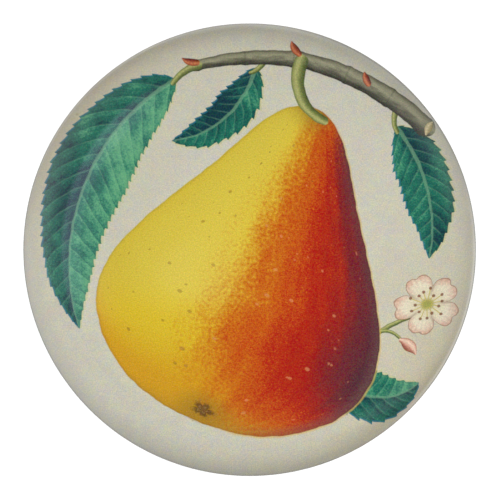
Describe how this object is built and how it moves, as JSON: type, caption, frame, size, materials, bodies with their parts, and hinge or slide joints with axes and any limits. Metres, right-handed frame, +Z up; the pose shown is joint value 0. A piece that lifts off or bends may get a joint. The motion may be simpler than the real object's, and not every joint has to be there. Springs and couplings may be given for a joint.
{
  "type": "domed glass paperweight",
  "caption": "Clear domed glass paperweight with a round printed paper picture of fruit and leaves pasted under the glass, on a felt pad.",
  "frame": {"origin": "middle of the felt pad's underside, on the axis of the dome", "axes": "+Z up along the axis of the dome; the printed picture faces +Z and its top edge is towards +Y, with +X to its right"},
  "size_m": [0.089, 0.089, 0.0376],
  "materials": {
    "clear_glass": "clear, fire-polished dome on a ground flat face",
    "printed_paper": "matt coloured inks on cream paper, bonded to the glass",
    "felt": "dense pressed wool felt, softly napped"
  },
  "bodies": {
    "root": {"glass_dome": "clear_glass", "printed_sheet": "printed_paper", "felt_pad": "felt"}
  },
  "joints": []
}
